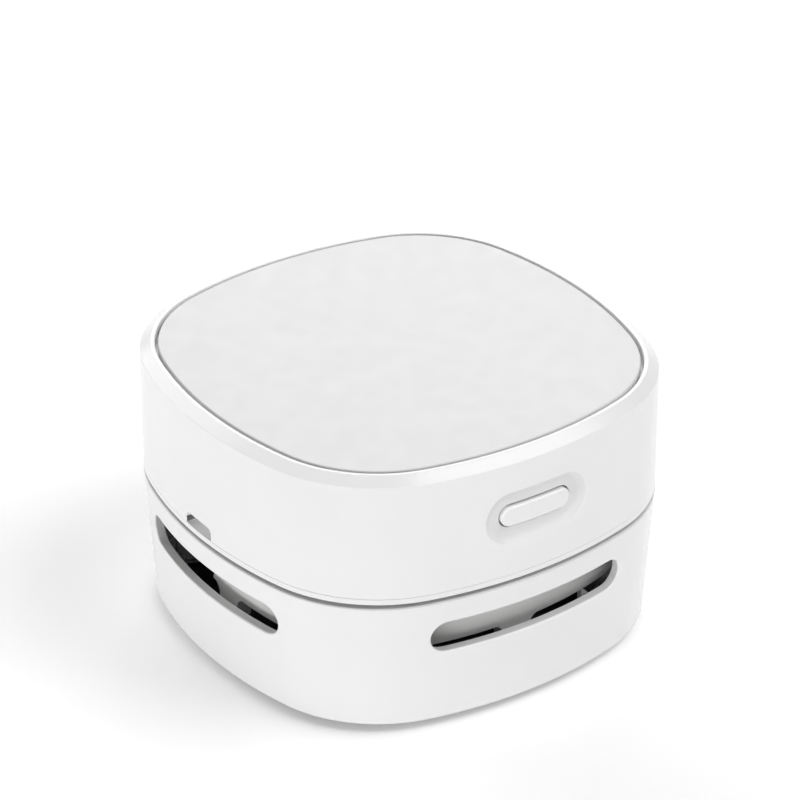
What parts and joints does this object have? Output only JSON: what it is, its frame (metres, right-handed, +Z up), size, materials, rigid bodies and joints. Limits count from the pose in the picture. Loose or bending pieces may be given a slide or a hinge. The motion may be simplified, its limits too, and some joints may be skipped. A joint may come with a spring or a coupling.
{
  "type": "desktop mini vacuum cleaner",
  "caption": "Rounded square desktop vacuum: dust box with exhaust slots and bristles, lift-out filter, and an upper body with fan, motor, battery, charging socket and push button.",
  "frame": {"origin": "on the table, under the middle of the case", "axes": "+Z up, -Y out of the face with the push button, -X out of the face with the charging socket"},
  "size_m": [0.084, 0.084, 0.0515],
  "materials": {
    "white_shell": "glossy white moulded ABS",
    "top_panel": "satin light grey moulded ABS",
    "inner_plastic": "satin white moulded ABS",
    "black_plastic": "satin black moulded plastic",
    "rubber": "matt black rubber",
    "bristles": "black nylon filament",
    "filter_fabric": "non-woven filter felt",
    "screw_steel": "zinc plated steel",
    "motor_steel": "drawn plated steel",
    "socket_steel": "plated steel",
    "bearing_bronze": "sintered bronze",
    "nickel": "nickel plated strip",
    "cell_wrap": "shrink sleeve",
    "laminate": "green solder mask",
    "epoxy": "moulded epoxy",
    "led_lens": "clear red epoxy",
    "red_wire": "red PVC insulation",
    "black_wire": "black PVC insulation"
  },
  "bodies": {
    "dust_box": {"lower_shell": "white_shell", "base_plate": "inner_plastic", "dust_cup": "black_plastic", "cup_seal": "rubber", "brush_front": "bristles", "brush_right": "bristles", "brush_back": "bristles", "brush_left": "bristles", "foot_front": "rubber", "foot_right": "rubber", "foot_back": "rubber", "foot_left": "rubber", "base_screw_front_left": "screw_steel", "base_screw_front_right": "screw_steel", "base_screw_back_right": "screw_steel", "base_screw_back_left": "screw_steel"},
    "filter": {"filter_frame": "black_plastic", "filter_pad": "filter_fabric"},
    "upper": {"upper_shell": "white_shell", "top_panel": "top_panel", "mid_frame": "white_shell", "fan_housing": "inner_plastic", "housing_screw_front_left": "screw_steel", "housing_screw_front_right": "screw_steel", "housing_screw_back_right": "screw_steel", "housing_screw_back_left": "screw_steel", "frame_screw_front_left": "screw_steel", "frame_screw_front_right": "screw_steel", "frame_screw_back_right": "screw_steel", "frame_screw_back_left": "screw_steel", "motor_bearing": "bearing_bronze", "motor_gasket": "rubber", "motor_can": "motor_steel", "motor_end_cap": "black_plastic", "motor_clamp": "motor_steel", "clamp_screw_left": "screw_steel", "clamp_screw_right": "screw_steel", "motor_terminal_left": "nickel", "motor_terminal_right": "nickel", "battery_cell": "cell_wrap", "battery_cradle": "black_plastic", "battery_tab_left": "nickel", "battery_tab_right": "nickel", "circuit_board": "laminate", "charge_chip": "epoxy", "capacitor": "epoxy", "status_led": "led_lens", "usb_socket": "socket_steel", "usb_tongue": "black_plastic", "switch_body": "black_plastic", "switch_board": "laminate", "battery_lead_positive": "red_wire", "battery_lead_negative": "black_wire", "motor_lead_positive": "red_wire", "motor_lead_negative": "black_wire"},
    "button": {"button_cap": "white_shell"},
    "plunger": {"switch_plunger": "black_plastic"},
    "fan": {"impeller": "black_plastic", "motor_shaft": "screw_steel"}
  },
  "joints": [
    {"name": "upper_lift", "type": "slide", "parent": "dust_box", "child": "upper", "axis": [0, 0, 1], "range_m": [0, 0.045]},
    {"name": "filter_lift", "type": "slide", "parent": "dust_box", "child": "filter", "axis": [0, 0, 1], "range_m": [0, 0.027]},
    {"name": "button_press", "type": "slide", "parent": "upper", "child": "button", "axis": [0, 1, 0], "range_m": [0, 0.001], "stiffness_N_per_m": 400, "springref_m": -0.0005},
    {"name": "plunger_travel", "type": "slide", "parent": "upper", "child": "plunger", "axis": [0, 1, 0], "range_m": [0, 0.001]},
    {"name": "fan_spin", "type": "hinge", "parent": "upper", "child": "fan", "pos_m": [0, 0, 0.0229], "axis": [0, 0, 1], "continuous": true}
  ],
  "couplings": [
    {"joint": "filter_lift", "follows": "upper_lift", "ratio": 0.6},
    {"joint": "plunger_travel", "follows": "button_press", "ratio": 1}
  ]
}
